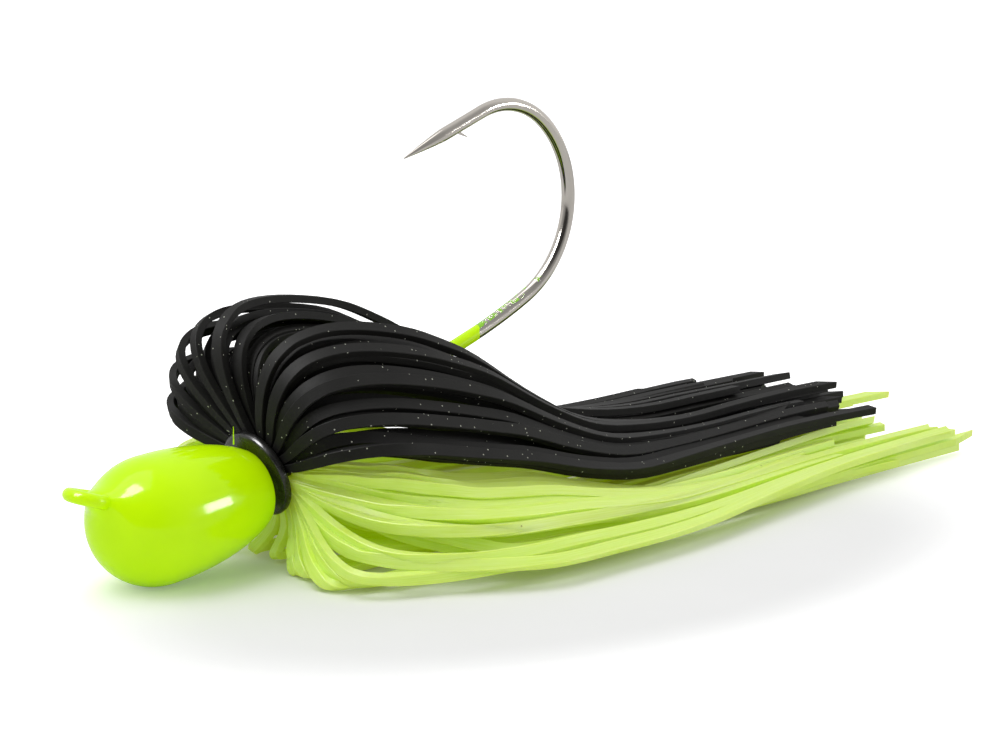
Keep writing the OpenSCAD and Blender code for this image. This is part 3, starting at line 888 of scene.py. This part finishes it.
def draw_twist(degrees):
    """A strand's own twist: its most, its number of waves and where they start."""
    most = math.radians(DRAWS.uniform(*TWIST_SHARE) * degrees)
    return most, DRAWS.uniform(*TWIST_WAVES), DRAWS.uniform(0, 1)


def draw_slant():
    """How far a tip's cut runs off square, as a share of the length."""
    return DRAWS.uniform(-CUT_SLANT, CUT_SLANT)


def make_strands():
    bar = make_bar()
    bodies = {n: b for b, names in frame["record"]["behaviour"]["bodies"].items() for n in names}
    solids = {n: strand_rings(n) for n in sorted(frame["nodes"]) if "_strand_" in n}
    for node, rings in solids.items():
        kind, number = node.split("_")[0], int(node[-2:])
        black = kind == "black"
        swell = FULL_BOW if black and number > FULL_BOW_AFTER else 1.0
        twist = draw_twist(SOLID_TWIST[kind])
        piece = bend_bar(bar, rings, twist, draw_slant(), stray=FIRM_STRAY, swell=swell)
        smooth(piece, degrees=30)
        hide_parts(node)
        rubber = black_rubber if black else chartreuse_rubber
        name_piece(piece, node + "_rubber", bodies[node], rubber)
    make_fillers(bar, solids, bodies)
    bpy.data.objects.remove(bar)


def strand_name(kind, side, column, row):
    """Chartreuse columns count up from the low middle, and black ones go on from there to the parting."""
    if kind == "chartreuse" and column == 4:
        kind, column = "black", 0
    if side == "right":
        column = (BLACK_LAST if kind == "black" else CHARTREUSE_LAST) - column
    return f"{kind}_strand_{column * ROWS + row + 1:02d}"


def course_among(solids, kind, side, column, row):
    """A course among four strands, as wide and thick as the nearest, and the name of that strand."""
    c, r = int(column), min(int(row), ROWS - 2)
    fc, fr = column - c, row - r
    shares = {
        strand_name(kind, side, c, r): (1 - fc) * (1 - fr),
        strand_name(kind, side, c + 1, r): fc * (1 - fr),
        strand_name(kind, side, c, r + 1): (1 - fc) * fr,
        strand_name(kind, side, c + 1, r + 1): fc * fr}
    rings = sum(share * solids[name] for name, share in shares.items())
    nearest = max((n for n in shares if n.startswith(kind)), key=shares.get)
    wanted = np.linalg.norm(solids[nearest][:, 1:], axis=2, keepdims=True)
    rings[:, 1:] *= wanted / np.linalg.norm(rings[:, 1:], axis=2, keepdims=True)
    return rings, nearest


def draw_reach():
    return DRAWS.uniform(*REACH)


def filler_places(kind, side, cells, per_cell):
    """Columns, rows and ways of one side's filling strands, spread over the cells between the columns."""
    near_green = (kind, side) == ("chartreuse", "left")
    far_green = (kind, side) == ("chartreuse", "right")
    for cell, k in itertools.product(range(cells), range(per_cell)):
        column = cell + CELL_PLACES[k % 2] + DRAWS.uniform(-CELL_STRAY, CELL_STRAY)
        if near_green and cell == EDGE_CELL:
            column = EDGE_CELL + DRAWS.uniform(0.0, EDGE_ROOM)
        share = (k + 0.5 + DRAWS.uniform(-ROW_STRAY, ROW_STRAY)) / per_cell
        row = NEAR_ROW + NEAR_ROW_SPAN * share if near_green else ROW_SPAN * share
        yield column, row, {
            "reach": draw_reach(), "fan": FILLER_FAN[kind], "stray": LOOSE_STRAY,
            "swell": FAR_BOW if far_green else DRAWS.uniform(*FILLER_BOW)}
    if near_green:
        # Outer strands that lie one over the next, and swell out low over the floor
        for k in range(OUTER_STRANDS):
            share = (k + 0.5 + DRAWS.uniform(-ROW_STRAY, ROW_STRAY)) / OUTER_STRANDS
            fullness = math.sin(math.pi * min(1.0, PUSH_FROM + PUSH_SPAN * share)) ** PUSH_POWER
            yield OUTER_FROM + OUTER_SPAN * share, DRAWS.uniform(*OUTER_ROWS), {
                "reach": draw_reach(), "fan": FILLER_FAN[kind], "stray": FIRM_STRAY,
                "roll": DRAWS.uniform(*OUTER_ROLL), "push": DRAWS.uniform(*OUTER_PUSH) * fullness}
    if far_green:
        # Long strands whose tips show past the black
        for row, reach in LONG_ROWS:
            yield DRAWS.uniform(*LONG_COLUMNS), row, {"reach": reach, "fan": FIRM_FAN}
    if (kind, side) == ("black", "right"):
        # Low strands on the far side, over the edge of the chartreuse
        for row in LOW_ROWS:
            yield DRAWS.uniform(*LOW_COLUMNS), row, {"reach": draw_reach(), "fan": FIRM_FAN}


def make_fillers(bar, solids, bodies):
    """The strands that lie among those with solids of their own, one piece for each bundle."""
    # For each rubber, the cells of its two sides and the strands in each cell
    kinds = (
        ("black", black_rubber, (("left", 4, 3), ("right", 4, 2))),
        ("chartreuse", chartreuse_rubber, (("left", 4, 5), ("right", 3, 4))))
    for kind, rubber, sides in kinds:
        bundles = {}
        for side, cells, per_cell in sides:
            for column, row, ways in filler_places(kind, side, cells, per_cell):
                rings, nearest = course_among(solids, kind, side, column, row)
                piece = bend_bar(bar, rings, draw_twist(FILLER_TWIST[kind]), draw_slant(), **ways)
                bundles.setdefault(bodies[nearest], []).append(piece)
        for body, pieces in bundles.items():
            join(pieces[0], pieces[1:])
            smooth(pieces[0], degrees=30)
            name_piece(pieces[0], body + "_filling", body, rubber)


# Studio, in metres

TENT_LEVEL = 0.72
TENT_OPENING = (-0.64, -0.71, 0.30)
TENT_WALL = [(0.0, (1, 1, 1)), (0.4, (0.55,) * 3), (0.72, (0.40,) * 3), (0.93, (0.05,) * 3)]
FLOOR_SIZE, FLOOR_BELOW = 4, 0.00002
# Painted shade on the floor: over an ellipse under the skirt the floor glows less, so it shows darker there
# than the white beyond, besides the real shadows. Its middle, and its half length and half width
PAINTED_SHADE_MID = (0.040, -0.020, FLOOR_Z * MM)
PAINTED_SHADE_LEN, PAINTED_SHADE_WIDTH = 0.048, 0.028
PAINTED_SHADE_GLOW = {"From Min": 0.75, "From Max": 1.45, "To Min": 0.03, "To Max": 0.60}
LENS, SENSOR = 143.64, 36
CAMERA_PLACE = (-0.20947, -0.28919, 0.08698)
CAMERA_AXES = ((0.7431, -0.6691, 0.0), (0.1391, 0.1545, 0.9781), (-0.6545, -0.7269, 0.2079))
LAMPS_AT = (0.04, 0.0, 0.0)


def vector_maths(nodes, links, operation, first, second=None):
    node = nodes.new("ShaderNodeVectorMath")
    node.operation = operation
    links.new(first, node.inputs[0])
    if second:
        node.inputs[1].default_value = second
    return node.outputs


def seen_straight(nodes, links):
    """The light path, and 1 where the camera sees a surface straight or through a clear one."""
    path = nodes.new("ShaderNodeLightPath").outputs
    return path, maths(nodes, links, "MAXIMUM", path["Is Camera Ray"], path["Is Transmission Ray"])


def make_floor():
    deselect()
    bpy.ops.mesh.primitive_plane_add(size=FLOOR_SIZE, location=(0, 0, FLOOR_Z * MM - FLOOR_BELOW))
    floor = bpy.context.object
    floor.name = "floor"
    place_in_mesh(floor)
    material, nodes, links, shader = new_material("floor_white")
    coords = object_coords(nodes)
    grain = noise(nodes, links, coords, scale=40, detail=2)
    colour = ramp(nodes, links, grain, [(0.3, (0.84,) * 3), (0.7, (0.86,) * 3)])
    links.new(colour, shader.inputs["Base Color"])
    set_sockets(shader, {"Roughness": 0.9, "Specular IOR Level": 0.1, "Emission Color": (1, 1, 1, 1)})
    seen = seen_straight(nodes, links)[1]
    # Away from the painted shade under the skirt the floor goes over to plain white
    shift = vector_maths(nodes, links, "SUBTRACT", coords, PAINTED_SHADE_MID)["Vector"]
    shrunk = vector_maths(nodes, links, "MULTIPLY", shift, (1 / PAINTED_SHADE_LEN, 1 / PAINTED_SHADE_WIDTH, 0.0))["Vector"]
    apart = vector_maths(nodes, links, "LENGTH", shrunk)["Value"]
    glow = nodes.new("ShaderNodeMapRange")
    glow.interpolation_type = "SMOOTHSTEP"
    links.new(apart, glow.inputs["Value"])
    set_sockets(glow, PAINTED_SHADE_GLOW)
    strength = maths(nodes, links, "MULTIPLY", seen, glow.outputs["Result"])
    links.new(strength, shader.inputs["Emission Strength"])
    floor.data.materials.append(material)


def make_world():
    """A white tent, open and dark towards the front, which shiny pieces show."""
    world = bpy.data.worlds.new("tent")
    bpy.context.scene.world = world
    world.use_nodes = True
    nodes, links = world.node_tree.nodes, world.node_tree.links
    back = nodes["Background"]
    back.inputs["Color"].default_value = (1, 1, 1, 1)
    path, seen = seen_straight(nodes, links)
    direction = nodes.new("ShaderNodeTexCoord").outputs["Generated"]
    facing = vector_maths(nodes, links, "DOT_PRODUCT", direction, TENT_OPENING)["Value"]
    wall = ramp(nodes, links, facing, TENT_WALL)
    plain = maths(nodes, links, "MULTIPLY_ADD", seen, 1 - TENT_LEVEL, TENT_LEVEL)
    shown = nodes.new("ShaderNodeMix")
    links.new(path["Is Glossy Ray"], shown.inputs[0])
    links.new(plain, shown.inputs[2])
    links.new(wall, shown.inputs[3])
    links.new(shown.outputs[0], back.inputs["Strength"])


def area_light(name, place, size, power, shine_only=False):
    data = bpy.data.lights.new(name, "AREA")
    data.shape = "RECTANGLE"
    data.size, data.size_y = size
    data.energy = power
    lamp = bpy.data.objects.new(name, data)
    bpy.context.scene.collection.objects.link(lamp)
    lamp.location = place
    lamp.visible_diffuse = not shine_only
    lamp.rotation_euler = (Vector(LAMPS_AT) - Vector(place)).to_track_quat("-Z", "Y").to_euler()


def make_camera():
    data = bpy.data.cameras.new("camera")
    data.sensor_fit = "HORIZONTAL"
    data.sensor_width = SENSOR
    data.lens = LENS
    data.clip_start = 0.01
    data.clip_end = 20
    camera = bpy.data.objects.new("camera", data)
    bpy.context.scene.collection.objects.link(camera)
    columns = (*CAMERA_AXES, CAMERA_PLACE)
    camera.matrix_world = Matrix([[column[k] for column in columns] for k in range(3)] + [[0, 0, 0, 1]])
    bpy.context.scene.camera = camera


make_camera()
make_head()
make_hook()
make_collar()
make_strands()
make_floor()
make_world()
area_light("overhead", (-0.10, 0.10, 0.55), size=(0.45, 0.35), power=1.1)
area_light("left_box", (-0.30, 0.02, 0.42), size=(0.20, 0.45), power=8.5, shine_only=True)
area_light("right_box", (0.45, -0.43, 0.12), size=(0.13, 0.13), power=1.9, shine_only=True)
bpy.context.scene.view_settings.view_transform = "Standard"

deselect()
